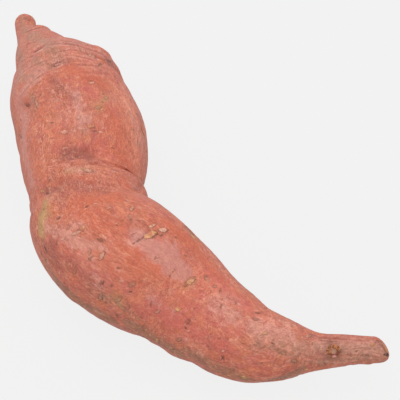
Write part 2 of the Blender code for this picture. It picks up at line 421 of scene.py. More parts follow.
# Marks of the photographed side: the two end pixels, half width in pixels and look.
photoMarks = (
    # knob at the stem end and the neck below it
    (24, 19, 27.5, 17.5, 1.2, "red"),
    (27, 20.5, 32, 19.5, 1.5, "red"),
    (19.5, 18.5, 20.5, 17.5, 0.62, "dark"),
    (22, 15, 24.5, 16, 0.6, "crack"),
    (26, 32.2, 32, 29.6, 0.55, "crack"),
    (32, 29.4, 40.5, 28, 0.6, "crack"),
    (33.6, 52.6, 39.4, 48.9, 0.69, "dark"),
    (38.4, 49.2, 45.2, 45, 0.7, "crack"),
    (36, 53.4, 44, 48.6, 0.6, "lightLine"),
    (58.5, 52, 66, 50.4, 0.5, "crack"),
    (63.5, 49.6, 70, 48.6, 0.5, "lightLine"),
    (51.6, 66.6, 58, 64.4, 0.62, "dark"),
    (57, 66.2, 64.6, 62.4, 0.6, "dark"),
    (52.6, 63.6, 63.4, 60.2, 0.6, "crack"),
    (54, 65, 63.4, 61.6, 0.5, "lightLine"),
    (57, 58.6, 64, 56.8, 0.45, "crack"),
    (88, 54.5, 95.5, 57.5, 1.32, "grey"),
    (96, 58.6, 101.5, 61, 0.9, "lightLine"),
    (99.5, 62.8, 103.5, 64.2, 0.75, "dark"),
    (106.5, 59, 111.5, 63, 1.62, "dark"),
    (104, 56, 107.5, 58, 0.8, "red"),
    # thicker bulb
    (17.5, 97, 30, 82.5, 0.6, "lightLine"),
    (30, 82.5, 45, 70.5, 0.6, "lightLine"),
    (87.5, 83.2, 95, 82.8, 0.92, "pale"),
    (88, 80.9, 94.5, 80.6, 0.7, "crack"),
    (24, 104.5, 29.5, 105.5, 1.88, "dark"),
    (30, 97, 36, 96.5, 0.8, "pale"),
    (35, 98.5, 37.5, 107.5, 1.2, "grey"),
    (34, 110.8, 36, 111.4, 1, "dark"),
    (104, 97.5, 108, 97.8, 1.8, "green"),
    (95.5, 108, 101.5, 107.2, 1.68, "green"),
    (99.5, 110.8, 103.5, 108.4, 0.92, "yellow"),
    (77, 118, 80.5, 117, 1.61, "pale"),
    (79, 122.5, 80.8, 122.3, 1.15, "pale"),
    (88, 126.4, 95, 125.4, 1.03, "yellow"),
    (88.5, 128.4, 94.5, 127.8, 0.6, "red"),
    (92, 130.6, 98, 131.2, 1.12, "dark"),
    (96.5, 131.6, 104, 132.2, 0.92, "pale"),
    (60.5, 132.4, 69, 131.4, 2.18, "pale"),
    (63.8, 132.2, 65, 132.2, 0.72, "pit"),
    (67.6, 131.6, 68.6, 131.6, 0.72, "pit"),
    (73.5, 131, 75.8, 131, 1.38, "pale"),
    (70, 127.9, 90, 128.6, 0.55, "lightLine"),
    (84, 148.5, 88.5, 149.5, 2, "red"),
    (66, 153.6, 70, 152.6, 0.7, "crack"),
    (74, 155.6, 79, 156.2, 1.12, "dark"),
    (70, 158.8, 74, 159, 0.75, "dark"),
    (73, 149.4, 76.4, 149, 0.6, "crack"),
    (70.6, 150.8, 78, 151.4, 0.4, "lightLine"),
    (20, 136, 21.8, 139, 1.25, "dark"),
    (20, 119, 22, 121.5, 0.8, "crack"),
    (138, 140, 139.5, 147, 0.96, "green"),
    (133, 128, 134, 132, 0.8, "red"),
    # waist
    (52, 188.6, 62, 189, 1.2, "crack"),
    (45, 194, 49, 193, 1.38, "dark"),
    (40.5, 191.6, 44.5, 190.4, 1.49, "yellow"),
    (110, 168.6, 120.5, 172.8, 0.5, "crack"),
    (128, 181, 138.6, 188.4, 0.5, "lightLine"),
    (125.5, 169.2, 128, 169.8, 1.25, "dark"),
    (84, 169.6, 92, 171, 1.92, "grey"),
    (112, 170.6, 124, 175, 0.5, "lightLine"),
    # bulb nearer the tip
    (56.2, 220, 61.2, 216.2, 1.12, "dark"),
    (61, 216.8, 64.8, 214.2, 0.8, "lightLine"),
    (56, 222.2, 62, 218.8, 0.6, "lightLine"),
    (84.4, 207.6, 88.8, 205.6, 1.12, "dark"),
    (82.5, 203.6, 86.5, 202.6, 0.92, "pale"),
    (84, 209.6, 87.4, 208.4, 0.6, "lightLine"),
    (92.5, 204.6, 97.5, 203.4, 1.15, "pale"),
    (106, 209, 111.2, 207.4, 1.38, "pale"),
    (129.6, 209.8, 134, 207, 2.16, "grey"),
    (128.4, 216, 131, 215, 1.03, "pale"),
    (114.6, 223.8, 118.4, 222.6, 0.92, "pale"),
    (115, 225.8, 118, 225.2, 0.88, "dark"),
    (121, 220.8, 125.8, 218, 1, "red"),
    (66.2, 229.4, 70, 226.6, 1.08, "grey"),
    (82, 229.8, 85.2, 225.8, 1.49, "yellow"),
    (82.6, 231.6, 84.6, 231.2, 0.88, "dark"),
    (72, 234.8, 80.8, 231.2, 1.95, "pale"),
    (60.5, 240, 65.5, 237.2, 1.15, "pale"),
    (144.2, 236.6, 155.8, 232.4, 3.62, "orangeEye"),
    (158.8, 229.4, 167.2, 230.2, 2.64, "blush"),
    (166.8, 232.2, 168.2, 229.6, 1, "dark"),
    (148.6, 227.2, 155.8, 224.2, 1.98, "blush"),
    (132.4, 244, 135.6, 241.8, 1, "dark"),
    (136.2, 241.2, 140.6, 237.8, 1.8, "dark"),
    (141, 238.6, 144.2, 235.8, 0.9, "dark"),
    (131, 234.8, 136.6, 231.8, 0.8, "crack"),
    (133, 237.6, 137.4, 234.8, 0.7, "lightLine"),
    (156, 236.8, 158, 232.2, 1.1, "dark"),
    (159.6, 236.2, 163.6, 234.8, 1.1, "dark"),
    (99.6, 260, 104.2, 252.2, 2.4, "grey"),
    (89, 255.6, 90.6, 249.4, 1.56, "green"),
    (185.8, 284.4, 195, 278.2, 2.99, "corky"),
    (183.4, 287, 187.4, 286.2, 1.12, "dark"),
    (204.6, 275.4, 208.8, 280.2, 2.1, "green"),
    (205.2, 275.6, 207.6, 277.4, 1.1, "dark"),
    (206, 280.6, 210.5, 281.2, 0.92, "pale"),
    (213, 285.4, 217, 287, 1.32, "grey"),
    (175.2, 309.8, 180.6, 308, 2.4, "yellow"),
    (103.2, 285.2, 103.8, 279.6, 1.2, "dark"),
    (100.4, 285.2, 101, 280.4, 1.4, "crust"),
    (128.8, 286.2, 135.2, 282.4, 2.28, "green"),
    (127.8, 292.8, 131.8, 291.6, 1.5, "dark"),
    (72.8, 274.4, 75.2, 269.6, 1.44, "green"),
    (74, 267.6, 75.2, 264.4, 0.92, "pale"),
    (99.4, 300, 101.4, 294, 1.44, "grey"),
    (102, 302.4, 103, 296.4, 0.7, "crack"),
    (115, 301.4, 121, 298.4, 2.28, "green"),
    (128.4, 311, 129.6, 304, 0.7, "crack"),
    (131, 316.6, 132, 311, 0.92, "pale"),
    (154.4, 312.6, 160, 311, 1.56, "grey"),
    (184.6, 321.4, 191, 324.6, 3, "red"),
    (185.2, 324.2, 190.2, 322.2, 2, "dark"),
    (187, 319.6, 190.8, 320.8, 1.2, "dark"),
    (184.6, 327.4, 186.6, 329, 1, "dark"),
    (184, 326, 187, 328.4, 0.8, "crack"),
    (186.3, 331.4, 190, 330.6, 1.15, "pale"),
    (176.6, 340.6, 181.4, 339.2, 1.68, "green"),
    (156, 338.4, 157.6, 343.4, 1.49, "yellow"),
    # taper
    (220.5, 355, 224.5, 361, 1, "dark"),
    (224.4, 356, 221, 360.4, 0.88, "dark"),
    (221.3, 351.4, 225, 350.4, 1.26, "pale"),
    (226.6, 337, 229, 341, 1.2, "red"),
    (271, 342.6, 275.6, 344.2, 1.5, "dark"),
    (262, 334, 267.6, 333, 1.15, "yellow"),
    (254, 312.8, 262, 313.4, 1, "dark"),
    (253.6, 310.4, 261, 311.2, 0.8, "lightLine"),
    (252.6, 318.4, 258.6, 320, 1.84, "crust"),
    (246, 316, 251, 317.4, 0.9, "lightLine"),
    (230, 366.2, 232.4, 365.8, 0.8, "pale"),
    (240.6, 377, 247.6, 378.4, 1.72, "yellow"),
    (236, 302, 244, 307, 0.6, "lightLine"),
    (226, 322, 240, 327, 0.6, "lightLine"),
    (281, 352, 286, 354.4, 1.92, "green"),
    (292, 360, 297, 362, 1.68, "green"),
    (303.6, 370.2, 308.6, 369, 1.38, "yellow"),
    # tail
    (305.6, 336.6, 311.6, 336, 1.32, "grey"),
    (305.4, 340.6, 309.6, 341.6, 1.08, "grey"),
    (370.6, 345.4, 374, 344, 1.4, "gold"),
    (348, 348.6, 368, 345.6, 0.7, "lightLine"),
    (354, 349.6, 366, 349, 0.69, "pale"),
    (355, 351.6, 357.6, 350.4, 0.8, "crust"),
    (353, 358.4, 359, 359.4, 1.08, "green"),
    (368.4, 341.4, 373.6, 340.8, 0.7, "lightLine"),
    (384.8, 346.6, 387.2, 352, 1.9, "gold"),
    (386.4, 352.8, 388, 356.8, 2.2, "black"),
    (387, 353.8, 388.4, 356.6, 1.4, "black"),
    (377.6, 340, 383.6, 347, 1.3, "crust"),
    (381, 341.6, 384, 345.6, 1, "green"),
    (320, 340.6, 336, 341.4, 0.8, "crust"),
    (332, 337.4, 337, 338.6, 0.9, "red"),
    # lines along the upper and left edges
    (184.5, 225, 195.5, 236.5, 0.88, "dark"),
    (190.6, 234.4, 194.6, 239, 0.92, "yellow"),
    (43.5, 245, 46.7, 254, 1, "dark"),
    (35, 236, 37, 243, 0.8, "crack"),
)

# Marks of the other sides, drawn at random from a fixed seed.
hiddenMarks = {
    "seed": 31,
    "specks": 150,
    "reach": (24.0, 232.0),
    "turns": (62.0, 236.0),
    "speckLooks": ("pale", "dark", "pit", "green", "grey", "yellow", "red", "crack"),
    "speckHalfLengths": (0.5, 1.8),
    "speckHalfWidths": (0.25, 0.5),
    "scarLooks": ("corky", "grey", "corky", "dark", "orangeEye", "green"),
    "scarHalfLengths": (1.4, 2.4),
    "scarHalfWidths": (0.45, 0.7),
    "tilt": 25.0,  # degrees, how far a mark may lean from square across the root
}


# Millimetres over the skin from one place to another: along the root and round it.
def skinStep(start, end):
    radius = float(localRadius(rootShape, (start[0] + end[0]) / 2)[0])
    return end[0] - start[0], math.radians(turnedFrom(end[1], start[1])) * radius


# A mark is its middle, its half length and half width as two steps over the skin, and its look.
def makeMark(middle, lengthStep, widthStep, look):
    return {"along": middle[0], "around": middle[1], "axes": (lengthStep, widthStep), "look": look}


def markBetween(start, end, halfWidth, look):
    x, y = skinStep(start, end)
    reach = max(math.hypot(x, y), 1e-6)
    half = max(reach / 2, halfWidth)
    x, y = x / reach, y / reach
    middle = ((start[0] + end[0]) / 2, start[1] + turnedFrom(end[1], start[1]) / 2)
    return makeMark(middle, (x * half, y * half), (-y * halfWidth, x * halfWidth), look)


# A mark seen between two pixels, with its half width in pixels. Its side step points down in the
# picture, where its rim is heavier, as painted shade on a dark rim and painted light on a pale lip.
def markSeen(start, end, halfWidth, look):
    stepU, stepV = (end[0] - start[0]) / 2, (end[1] - start[1]) / 2
    middle = (start[0] + stepU, start[1] + stepV)
    half = math.hypot(stepU, stepV)
    if half < halfWidth:
        stepU, stepV, half = halfWidth, 0.0, halfWidth
    sideU, sideV = -stepV / half * halfWidth, stepU / half * halfWidth
    if sideV < 0:
        sideU, sideV = -sideU, -sideV
    place = castPixel(middle)
    if place is None:
        return None
    steps = []
    for acrossU, acrossV in ((stepU, stepV), (sideU, sideV)):
        ahead = castPixel((middle[0] + acrossU, middle[1] + acrossV))
        behind = castPixel((middle[0] - acrossU, middle[1] - acrossV))
        if ahead is None and behind is None:
            return None
        x, y = skinStep(behind or place, ahead or place)
        share = 0.5 if ahead and behind else 1.0
        steps.append((x * share, y * share))
    return makeMark(place, steps[0], steps[1], look)


def photoMarkList():
    marks = []
    for row in photoMarks:
        mark = markSeen(row[:2], row[2:4], *row[4:])
        if mark is None:
            print("mark off the skin:", row)
        else:
            marks.append(mark)
    return marks


def hiddenMark(draw, setup, middle, kind):
    look = draw.choice(setup[kind + "Looks"])
    lean = math.radians(draw.uniform(-setup["tilt"], setup["tilt"]))
    x, y = math.sin(lean), math.cos(lean)
    half = draw.uniform(*setup[kind + "HalfLengths"])
    wide = draw.uniform(*setup[kind + "HalfWidths"])
    return makeMark(middle, (x * half, y * half), (-y * wide, x * wide), look)


def hiddenMarkList(setup):
    draw = random.Random(setup["seed"])
    marks = [hiddenMark(draw, setup, place, "scar") for place in hiddenScars(rootShape)]
    for _ in range(setup["specks"]):
        place = (draw.uniform(*setup["reach"]), draw.uniform(*setup["turns"]))
        marks.append(hiddenMark(draw, setup, place, "speck"))
    return marks


# The crusty ring on the tail, where a side root broke off
tailRing = {
    "left": (326.2, 351.8),
    "right": (340.8, 351.2),
    "halfHeight": 6.9,  # pixels
    "farthest": 4.0,  # half heights from its middle
    "petals": 11,
    "petalShare": 0.4,
    "petalSkew": 1.5,
    "petalPlace": 0.72,
    "petalReach": 0.22,
    "petalRise": 0.4,
    "pitReach": 0.35,
    "pitDepth": 0.35,
}


def ringRelief(setup, a, b):
    reach = np.hypot(a, b)
    angle = np.arctan2(b, a)
    wave = np.cos(setup["petals"] * angle + setup["petalSkew"] * np.sin(2 * angle))
    petals = 1 - setup["petalShare"] * (1 - wave)
    height = petals * np.exp(-(((reach - setup["petalPlace"]) / setup["petalReach"]) ** 2))
    return setup["petalRise"] * height - setup["pitDepth"] * np.exp(-((reach / setup["pitReach"]) ** 2))


# Where each place lies in the ring, and the ring's relief.
def ringFields(setup, along, around, radius):
    ring = markSeen(setup["left"], setup["right"], setup["halfHeight"], "ring")
    a, b = placeLocal(along, around, radius, ring)
    near = np.hypot(a, b) < setup["farthest"]
    place = np.where(near[:, None], np.stack([a, b, near], axis=1), skinMesh["farPlace"])
    return place, ringRelief(setup, a, b) * near


# Hollows and swellings too small for the solid: two end pixels, half width and rise in mm.
photoDents = (
    (366, 363, 368, 363.2, 1, 0.4),
    (317, 334.8, 319, 335, 1, -0.4),
    (62, 154, 90, 155, 2.4, -0.5),
    (84, 132, 92, 133, 1.2, -0.2),
    (136, 240, 141, 238, 1.2, -0.4),
    (24, 105, 29, 105.5, 1.4, -0.4),
    (52, 82, 60, 86, 2, -0.3),
    (74, 222, 96, 232, 2, 0.3),
    (60, 266, 70, 276, 2.4, -0.3),
    (128, 284, 134, 292, 2, -0.3),
)


# The lower corner of the tail's end is worn off.
tailTrim = {
    "turn": -132.0,
    "spread": 42.0,  # degrees
    "start": 5.0,  # mm before the last station
    "depth": 2.1,
}


def trimShift(shape, setup, along, around, radius):
    length = stationDistances(shape)[-1]
    direction = np.array(shape["stations"][-1][:3]) - np.array(shape["stations"][-2][:3])
    direction /= np.linalg.norm(direction)
    ramp = np.clip((along - length + setup["start"]) / setup["start"], 0, 1) ** 2
    girth = np.sqrt(np.clip(1 - (np.maximum(along - length, 0) / radius) ** 2, 0, 1))
    away = turnedFrom(around, setup["turn"]) / setup["spread"]
    return -direction * (setup["depth"] * ramp * girth * np.exp(-(away**2)))[:, None]


# A soft patch between a row's two pixels, or none where one of them isn't on the root.
def patchSeen(row, name):
    start, end = castPixel(row[:2]), castPixel(row[2:4])
    if start is None or end is None:
        print(name, "off the skin:", row)
        return None
    return markBetween(start, end, row[4], name)


def dentRelief(along, around, radius):
    height = np.zeros(len(along))
    for row in photoDents:
        patch = patchSeen(row, "dent")
        if patch:
            height += row[5] * patchField(patch, along, around, radius)
    return height


# Furrows, each with a light crest on both sides: half width and depth in mm, and the pixels that
# it runs through. Besides their relief, furrows get a darker colour as painted shade and crests a lighter
# one as a painted highlight.
photoFurrows = (
    (0.6, 0.45, ((25.5, 32.4), (35, 29), (41, 28))),
    (0.8, 0.5, ((33, 52.4), (39.5, 48.6), (45, 45.4))),
    (0.5, 0.2, ((18, 50), (25, 45.5), (34, 42), (46, 38.6))),
    (0.5, 0.2, ((20, 64), (28, 58), (36, 54))),
    (0.5, 0.18, ((17, 78), (26, 70), (38, 64), (50, 59.4))),
    (0.5, 0.2, ((46, 39.6), (58, 38.4), (72, 40.2))),
    (0.5, 0.22, ((45, 43.4), (58, 40.8), (78, 42.8), (94, 48))),
    (0.6, 0.26, ((45, 47), (59, 43.6), (80, 46.2), (98, 52), (107, 57.6))),
    (0.5, 0.22, ((58.8, 52), (70, 49.8), (82.5, 52.2), (95, 56.4), (104, 61))),
    (0.5, 0.22, ((50, 59.4), (61, 55.6), (72.5, 55.4), (85, 57.8), (100, 63))),
    (0.6, 0.16, ((73.8, 65), (92.5, 65.6), (111, 70.6))),
    (0.6, 0.12, ((80, 72.5), (98, 73), (115, 76))),
    (0.7, 0.5, ((52, 66.4), (58, 64.6), (64, 62))),
    (0.5, 0.35, ((53, 63.4), (58, 61.8), (63.4, 60))),
    (0.6, 0.16, ((19, 98), (28.5, 86.5), (38, 77), (47, 71.6))),
    (0.8, 0.14, ((58, 162), (76, 165.5), (96, 163.8), (112, 168.4))),
    (0.7, 0.06, ((104, 165.8), (122, 173.4), (140, 188.6))),
    (0.6, 0.08, ((96, 169.6), (118, 175.2), (140, 191.4))),
    (0.6, 0.1, ((96, 176), (118, 181), (142, 197))),
    (0.7, 0.08, ((70, 187), (95, 183), (120, 187), (146, 202.4))),
    (0.5, 0.06, ((64, 151.6), (72, 150), (82, 149.4))),
    (0.6, 0.1, ((66, 158), (76, 158.6), (88, 157.2))),
    (0.6, 0.1, ((216, 300), (230, 297), (244, 304))),
    (0.6, 0.1, ((210, 312), (224, 320), (242, 319))),
    (0.6, 0.1, ((212, 306), (228, 312), (244, 311))),
    (0.4, 0.14, ((306, 331), (322, 337.6), (350, 339.4), (374, 341.6))),
    (0.4, 0.12, ((316, 345), (326, 343.4), (338, 342.6))),
    (0.4, 0.12, ((343, 348.6), (360, 348), (380, 349.4))),
    (0.4, 0.12, ((343, 356), (360, 355.4), (382, 357))),
    (0.4, 0.12, ((298, 354), (320, 359), (348, 361))),
)

# Furrows of the other sides, drawn at random from a fixed seed.
hiddenFurrows = {
    "seed": 17,
    # distance along from and to, and how many
    "zones": ((20.0, 62.0, 9), (106.0, 132.0, 6), (60.0, 205.0, 7), (205.0, 236.0, 7)),
    "turns": (64.0, 215.0),
    "steps": 4,
    "stepTurns": (14.0, 26.0),
    "drift": 2.5,
    "halfWidths": (0.5, 0.8),
    "depths": (0.06, 0.22),
}


def furrowList(setup):
    furrows = []
    for halfWidth, depth, pixels in photoFurrows:
        places = [castPixel(pixel) for pixel in pixels]
        furrows.append((halfWidth, depth, [place for place in places if place]))
    draw = random.Random(setup["seed"])
    for low, high, count in setup["zones"]:
        for _ in range(count):
            place = (draw.uniform(low, high), draw.uniform(*setup["turns"]))
            places = [place]
            for _ in range(setup["steps"]):
                drift = draw.uniform(-setup["drift"], setup["drift"])
                place = (place[0] + drift, place[1] + draw.uniform(*setup["stepTurns"]))
                places.append(place)
            furrows.append((draw.uniform(*setup["halfWidths"]), draw.uniform(*setup["depths"]), places))
    return furrows


furrowShape = {
    "beyond": 99.0,  # mm
    # a furrow's colour is painted shade, and its crests' colour a painted highlight
    "fullDepth": 0.3,  # a furrow this deep has its full colour
    "mostColour": 1.2,
    "tipShare": 0.15,
    "taper": 4.0,
    "lipPlace": 2.0,  # half widths from the middle
    "lipShare": 0.4,
}


# How far each place is from a furrow's line, and how much of its depth the furrow has there.
def furrowReach(shape, places, along, around, radius):
    nearest = np.full(len(along), shape["beyond"])
    taper = np.zeros(len(along))
    runs = len(places) - 1
    for number, (start, end) in enumerate(zip(places, places[1:])):
        x = along - start[0]
        y = np.radians(turnedFrom(around, start[1])) * radius
        lineX, lineY = skinStep(start, end)
        share = np.clip((x * lineX + y * lineY) / (lineX**2 + lineY**2), 0, 1)
        away = np.hypot(x - share * lineX, y - share * lineY)
        closer = away < nearest
        nearest = np.where(closer, away, nearest)
        progress = (number + share) / runs
        depth = shape["taper"] * np.minimum(progress, 1 - progress) + shape["tipShare"]
        taper = np.where(closer, np.minimum(1, depth), taper)
    return nearest, taper


# How strongly each place takes the painted shade of a furrow and the painted highlight of a crest beside
# one, and the relief of both.
def furrowFields(shape, furrows, along, around, radius, wander):
    furrowShade, crestHighlight, relief = (np.zeros(len(along)) for _ in range(3))
    for halfWidth, depth, places in furrows:
        nearest, taper = furrowReach(shape, places, along, around, radius)
        nearest = np.abs(nearest + wander)
        strength = taper * min(depth / shape["fullDepth"], shape["mostColour"])
        groove = np.exp(-((nearest / halfWidth) ** 2))
        lip = np.exp(-(((nearest - shape["lipPlace"] * halfWidth) / halfWidth) ** 2))
        furrowShade = np.maximum(furrowShade, groove * strength)
        crestHighlight = np.maximum(crestHighlight, lip * strength)
        relief += depth * taper * (shape["lipShare"] * lip - groove)
    return furrowShade, crestHighlight, relief


# Soft patches of tint on the photographed side: the two end pixels, half width in mm, strength.
# Some are painted shade and painted light, as said at each colour.
tintPatches = {
    # chalk: pale patches of the skin, and painted light along the right edge of the thicker bulb
    "chalk": (
        (76, 96, 80, 120, 3.0, 0.7),
        (70, 112, 88, 120, 2.6, 0.55),
        (46, 226, 74, 238, 2.8, 0.7),
        (70, 242, 102, 246, 2.4, 0.65),
        (108, 254, 118, 266, 2.4, 0.3),
        (62, 228, 80, 226, 2.6, 0.6),
        (214, 304, 236, 318, 3.6, 0.6),
        (254, 326, 288, 336, 4.0, 0.8),
        (316, 346, 384, 348, 2.6, 1.0),
        (90, 262, 96, 278, 3.0, 0.5),
        (68, 170, 92, 171, 1.8, 0.6),
        (222, 298, 232, 300, 2.6, 0.5),
        (276, 346, 300, 348, 3.0, 0.5),
        (185, 340, 200, 352, 2.6, 0.35),
        (130, 112, 137, 140, 1.6, 0.5),
        (132, 243, 142, 235, 1.6, 0.6),
        (272, 318, 292, 326, 2.4, 0.5),
    ),
    # amber: partly painted light along the right edges of the thicker bulb and the waist; the rest are light
    # patches of the skin
    "amber": (
        (124, 98, 137, 150, 4.4, 0.85),
        (84, 250, 124, 276, 4.0, 0.15),
        (262, 316, 290, 330, 3.0, 0.5),
        (132, 196, 150, 206, 2.4, 0.4),
        (104, 158, 120, 168, 2.0, 0.5),
        (330, 346, 380, 347, 1.4, 0.5),
        (196, 268, 222, 296, 3.0, 0.5),
        (130, 156, 141, 178, 1.8, 0.6),
        (132, 182, 143, 192, 1.6, 0.6),
        (208, 250, 240, 290, 1.6, 0.6),
    ),
    # mauve: partly a painted sheen along the left and right edges of the thicker bulb; the rest are
    # mauve-grey patches of the skin
    "mauve": (
        (74, 92, 82, 126, 2.6, 0.5),
        (150, 244, 168, 250, 3.4, 1.0),
        (156, 252, 184, 272, 3.6, 1.0),
        (168, 272, 188, 276, 2.6, 0.7),
        (24, 90, 40, 70, 3.4, 0.8),
        (16, 96, 24, 150, 3.6, 0.8),
        (24, 150, 32, 185, 3.4, 0.7),
        (100, 52, 112, 64, 2.2, 0.6),
        (125, 90, 138, 112, 2.6, 0.4),
        (140, 118, 142, 150, 1.6, 0.35),
        (110, 266, 118, 276, 3.0, 0.2),
        (150, 300, 175, 312, 3.6, 0.4),
        (56, 100, 60, 122, 2.6, 0.4),
    ),
    # dusk: mostly painted shade in dents and creases, in the waist and along edges, the tail's upper edge
    # among them; the rest are dark patches of the skin
    "dusk": (
        (66, 153, 88, 156, 3.4, 1.0),
        (70, 160, 90, 159, 1.6, 0.9),
        (52, 80, 60, 88, 3.0, 0.7),
        (106, 60, 113, 66, 2.0, 0.8),
        (118, 168, 138, 186, 1.4, 0.25),
        (46, 190, 62, 188, 2.0, 0.6),
        (52, 244, 58, 266, 2.6, 0.7),
        (66, 92, 74, 100, 2.6, 0.5),
        (96, 84, 106, 92, 2.2, 0.4),
        (90, 124, 94, 136, 2.0, 0.4),
        (22, 104, 30, 106, 2.6, 0.5),
        (44, 244, 52, 262, 2.6, 0.6),
        (76, 268, 84, 276, 2.8, 0.5),
        (142, 184, 134, 190, 2.0, 0.6),
        (310, 335, 345, 339, 1.3, 0.6),
        (345, 339, 380, 341, 1.0, 0.5),
        (318, 352, 327, 356, 1.6, 0.6),
        (54, 176, 64, 196, 2.4, 0.5),
        (54, 66, 70, 60, 2.4, 0.6),
        (62, 160, 96, 161, 3.6, 0.35),
        (31, 226, 40, 246, 1.8, 0.35),
        (64, 183, 104, 190, 3.6, 0.6),
    ),
    "stain": (
        (45, 204, 44, 214, 1.7, 1.0),
        (42, 216, 41, 233, 1.7, 1.0),
        (50, 207, 50, 212, 1.2, 0.5),
        (118, 298, 118, 302, 1.5, 0.4),
        (98, 108, 106, 98, 2.0, 0.5),
        (196, 238, 191, 234, 1.4, 0.5),
        (66, 172, 90, 168, 1.4, 0.4),
        (188, 286, 192, 282, 1.6, 0.4),
    ),
    # olive: a dull greenish brown laid mostly along the lower edges of the root and the tail, so they are
    # darker towards the bottom
    "olive": (
        (190, 354, 240, 376, 3.6, 0.8),
        (130, 324, 180, 354, 3.2, 0.9),
        (60, 285, 110, 320, 3.0, 0.9),
        (280, 378, 300, 370, 3.2, 0.8),
        (46, 262, 60, 284, 2.4, 0.6),
        (285, 352, 296, 360, 3.0, 0.5),
        (300, 364, 340, 362, 2.2, 0.5),
        (96, 294, 124, 304, 3.0, 0.5),
        (120, 304, 134, 316, 3.0, 0.5),
        (348, 356, 372, 357, 1.6, 0.6),
        (206, 338, 214, 352, 2.4, 0.3),
        (246, 354, 270, 364, 3.0, 0.35),
    ),
    "moss": (
        (32, 34, 56, 56, 4.6, 0.8),
        (18, 40, 22, 76, 3.2, 0.7),
        (34, 60, 52, 66, 3.0, 0.7),
        (16, 80, 34, 76, 3.4, 0.5),
        (30, 96, 36, 106, 2.0, 0.6),
        (56, 44, 84, 48, 2.6, 0.45),
        (66, 170, 96, 172, 2.0, 0.4),
        (300, 346, 384, 351, 3.4, 0.75),
        (318, 359, 382, 360, 2.0, 0.7),
        (262, 340, 314, 352, 3.6, 0.6),
        (23, 18, 25, 34, 3.4, 0.7),
        (52, 100, 56, 118, 2.2, 0.4),
        (70, 128, 84, 132, 1.8, 0.4),
        (36, 188, 60, 200, 2.4, 0.4),
        (84, 120, 98, 112, 2.0, 0.3),
        (124, 218, 136, 214, 1.8, 0.3),
    ),
    "glow": (
        (106, 112, 122, 140, 4.0, 0.6),
        (84, 214, 98, 224, 3.0, 0.9),
        (112, 150, 130, 166, 4.0, 0.6),
        (124, 180, 136, 198, 3.0, 0.8),
        (172, 228, 194, 246, 3.0, 1.0),
        (194, 246, 224, 282, 2.8, 0.6),
        (136, 254, 150, 264, 2.8, 1.0),
        (122, 252, 134, 268, 2.6, 0.7),
        (76, 204, 112, 196, 4.6, 0.8),
        (104, 214, 120, 226, 3.4, 0.6),
        (74, 70, 100, 84, 4.4, 0.85),
        (46, 108, 60, 140, 3.4, 0.3),
        (196, 268, 206, 276, 2.4, 0.5),
        (60, 180, 106, 186, 4.0, 0.6),
        (36, 150, 44, 185, 2.6, 0.5),
        (170, 320, 196, 330, 3.0, 0.4),
        (352, 342, 366, 340, 1.4, 0.3),
        (96, 246, 130, 274, 4.2, 0.75),
        (118, 174, 138, 192, 1.6, 0.5),
    ),
    "rose": (
        (206, 276, 244, 304, 3.6, 0.8),
        (188, 292, 204, 296, 3.0, 0.5),
        (188, 330, 226, 348, 3.4, 0.7),
        (236, 300, 264, 318, 2.6, 0.7),
        (228, 354, 252, 360, 3.0, 0.5),
        (80, 146, 92, 150, 2.0, 0.6),
        (142, 196, 162, 212, 2.6, 0.5),
        (88, 60, 118, 76, 3.0, 0.5),
        (312, 350, 322, 352, 2.0, 0.4),
        (100, 160, 120, 166, 2.4, 0.4),
        (98, 140, 112, 160, 3.0, 0.6),
        (88, 88, 108, 104, 3.4, 0.6),
        (60, 130, 66, 142, 3.0, 0.4),
        (300, 346, 318, 352, 2.4, 0.5),
        (132, 306, 150, 314, 3.4, 0.6),
        (152, 304, 190, 330, 4.0, 0.8),
        (180, 300, 236, 330, 3.6, 0.6),
        (84, 262, 122, 290, 3.6, 0.5),
        (60, 244, 84, 264, 3.0, 0.4),
    ),
    "netted": (
        (40, 130, 62, 196, 4.4, 1.0),
        (62, 176, 108, 186, 4.4, 0.9),
        (92, 226, 120, 250, 4.0, 0.8),
        (56, 90, 72, 110, 3.6, 0.8),
        (100, 120, 112, 150, 3.0, 0.5),
        (210, 300, 250, 340, 5.0, 0.5),
        (60, 196, 84, 214, 3.4, 0.7),
    ),
}

# The same tints on the other sides, as broad patches drawn at random from a fixed seed.
hiddenTints = {
    "seed": 8,
    "reach": (20.0, 225.0),
    "turns": (86.0, 226.0),
    "halfWidths": (2.5, 6.0),
    "lengths": (0.0, 14.0),
    "leans": (-20.0, 20.0),  # degrees
    "counts": {
        "chalk": 10,
        "amber": 10,
        "mauve": 12,
        "dusk": 10,
        "stain": 6,
        "olive": 10,
        "moss": 10,
        "glow": 16,
        "rose": 12,
        "netted": 12,
    },
    "strengths": (0.3, 0.9),
}


# A place in a mark's own measure: 1 at its ends and at its sides.
def placeLocal(along, around, radius, mark):
    x = along - mark["along"]
    y = np.radians(turnedFrom(around, mark["around"])) * radius
    (lengthX, lengthY), (widthX, widthY) = mark["axes"]
    size = lengthX * widthY - lengthY * widthX
    return (x * widthY - y * widthX) / size, (lengthX * y - lengthY * x) / size


# 1 along the middle line of a patch, falling softly to 0 past its half width.
def patchField(patch, along, around, radius):
    a, b = placeLocal(along, around, radius, patch)
    stretch = math.hypot(*patch["axes"][0]) / math.hypot(*patch["axes"][1])
    away = np.hypot(np.maximum(np.abs(a) - 1, 0) * stretch, b)
    return np.exp(-(away**2))


def tintField(setup, name, along, around, radius):
    patches = [(patchSeen(row, name), row[5]) for row in tintPatches[name]]
    draw = random.Random(f"{setup['seed']} {name}")
    for _ in range(setup["counts"][name]):
        start = (draw.uniform(*setup["reach"]), draw.uniform(*setup["turns"]))
        end = (start[0] + draw.uniform(*setup["lengths"]), start[1] + draw.uniform(*setup["leans"]))
        patch = markBetween(start, end, draw.uniform(*setup["halfWidths"]), name)
        patches.append((patch, draw.uniform(*setup["strengths"])))
    field = np.zeros(len(along))
    for patch, strength in patches:
        if patch:
            field = np.maximum(field, strength * patchField(patch, along, around, radius))
    return field


# The fine mesh

